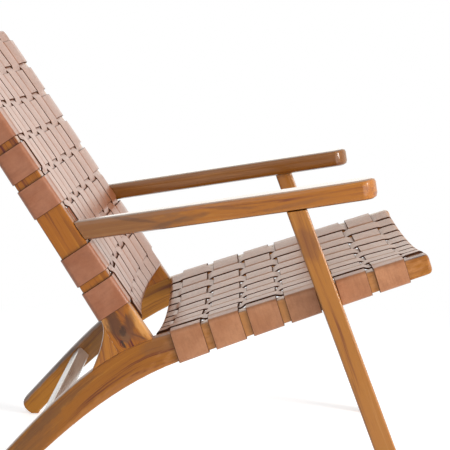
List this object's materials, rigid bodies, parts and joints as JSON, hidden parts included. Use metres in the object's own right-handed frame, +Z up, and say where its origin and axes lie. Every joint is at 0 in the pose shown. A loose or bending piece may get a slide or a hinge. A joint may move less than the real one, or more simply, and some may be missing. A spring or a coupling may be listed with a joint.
{
  "type": "lounge chair",
  "caption": "Low lounge chair: teak frame with splayed front legs, curved rear legs and flat armrests, seat and back woven from flat leather straps.",
  "frame": {"origin": "centre of the bounding box, on the floor", "axes": "+Z up, the chair faces -Y, its right side is -X, and the X = 0 plane is the plane of symmetry of the frame"},
  "size_m": [0.652, 0.7776, 0.7393],
  "materials": {
    "teak": "oiled teak, satin",
    "dowel": "plain beech dowel",
    "leather": "tan harness leather, semi-gloss"
  },
  "bodies": {
    "root": {"back_cross_strap_1": "leather", "back_cross_strap_2": "leather", "back_cross_strap_3": "leather", "back_cross_strap_4": "leather", "back_cross_strap_5": "leather", "back_cross_strap_6": "leather", "back_cross_strap_7": "leather", "back_cross_strap_8": "leather", "back_long_strap_1": "leather", "back_long_strap_2": "leather", "back_long_strap_3": "leather", "back_long_strap_4": "leather", "back_long_strap_5": "leather", "back_long_strap_6": "leather", "back_long_strap_7": "leather", "back_long_strap_8": "leather", "back_long_strap_9": "leather", "back_lower_rail": "teak", "back_top_rail": "teak", "left_arm_front_dowel": "dowel", "left_arm_rear_dowel": "dowel", "left_armrest": "teak", "left_back_upright": "teak", "left_block_dowel": "dowel", "left_corner_block": "teak", "left_front_leg": "teak", "left_leg_dowel_1": "dowel", "left_leg_dowel_2": "dowel", "left_side_rail": "teak", "left_upright_dowel": "dowel", "rear_stretcher": "teak", "right_arm_front_dowel": "dowel", "right_arm_rear_dowel": "dowel", "right_armrest": "teak", "right_back_upright": "teak", "right_block_dowel": "dowel", "right_corner_block": "teak", "right_front_leg": "teak", "right_leg_dowel_1": "dowel", "right_leg_dowel_2": "dowel", "right_side_rail": "teak", "right_upright_dowel": "dowel", "seat_cross_strap_1": "leather", "seat_cross_strap_2": "leather", "seat_cross_strap_3": "leather", "seat_cross_strap_4": "leather", "seat_cross_strap_5": "leather", "seat_cross_strap_6": "leather", "seat_front_rail": "teak", "seat_long_strap_1": "leather", "seat_long_strap_2": "leather", "seat_long_strap_3": "leather", "seat_long_strap_4": "leather", "seat_long_strap_5": "leather", "seat_long_strap_6": "leather", "seat_long_strap_7": "leather", "seat_long_strap_8": "leather", "seat_long_strap_9": "leather", "seat_rear_rail": "teak"}
  },
  "joints": []
}
